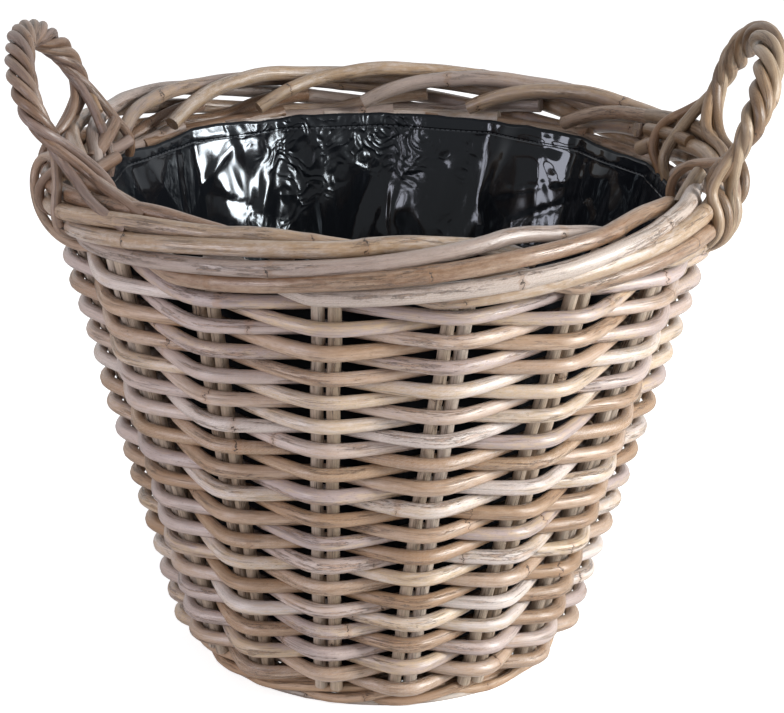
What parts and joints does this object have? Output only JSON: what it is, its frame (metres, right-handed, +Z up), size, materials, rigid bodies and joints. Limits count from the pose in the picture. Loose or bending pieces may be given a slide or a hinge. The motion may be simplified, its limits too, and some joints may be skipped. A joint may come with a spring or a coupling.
{
  "type": "woven cane basket with a liner",
  "caption": "Round tapered basket of woven grey cane with a rolled rim, two rope-twisted ear handles, a hooped foot and a glossy black plastic liner.",
  "frame": {"origin": "on the floor under the basket's axis", "axes": "+Z up, X through the two handles, -Y the front"},
  "size_m": [0.4999, 0.4672, 0.4422],
  "materials": {
    "wall_cane": "peeled grey-washed cane, satin",
    "stake_cane": "peeled grey-washed cane, satin",
    "rim_cane": "peeled grey-washed cane, satin",
    "handle_cane": "peeled grey-washed cane, satin",
    "bow_cane": "bare cane, matt",
    "foot_cane": "brown cane with its bark, satin",
    "hoop_cane": "split cane, matt",
    "base_cane": "peeled cane, matt",
    "liner_film": "black plastic film, glossy and creased"
  },
  "bodies": {
    "root": {"foot_hoop": "hoop_cane", "foot_border": "foot_cane", "base_sticks": "base_cane", "base_weave": "base_cane", "stake_pair_01": "stake_cane", "stake_pair_02": "stake_cane", "stake_pair_03": "stake_cane", "stake_pair_04": "stake_cane", "stake_pair_05": "stake_cane", "stake_pair_06": "stake_cane", "stake_pair_07": "stake_cane", "stake_pair_08": "stake_cane", "stake_pair_09": "stake_cane", "stake_pair_10": "stake_cane", "stake_pair_11": "stake_cane", "stake_pair_12": "stake_cane", "stake_pair_13": "stake_cane", "stake_pair_14": "stake_cane", "stake_pair_15": "stake_cane", "stake_pair_16": "stake_cane", "weave_course_01": "wall_cane", "weave_course_02": "wall_cane", "weave_course_03": "wall_cane", "weave_course_04": "wall_cane", "weave_course_05": "wall_cane", "weave_course_06": "wall_cane", "weave_course_07": "wall_cane", "weave_course_08": "wall_cane", "weave_course_09": "wall_cane", "weave_course_10": "wall_cane", "weave_course_11": "wall_cane", "weave_course_12": "wall_cane", "weave_course_13": "wall_cane", "weave_course_14": "wall_cane", "weave_course_15": "wall_cane", "weave_course_16": "wall_cane", "weave_course_17": "wall_cane", "rim_border": "rim_cane", "left_handle_bow": "bow_cane", "left_handle_strands": "handle_cane", "right_handle_bow": "bow_cane", "right_handle_strands": "handle_cane", "liner": "liner_film"}
  },
  "joints": []
}
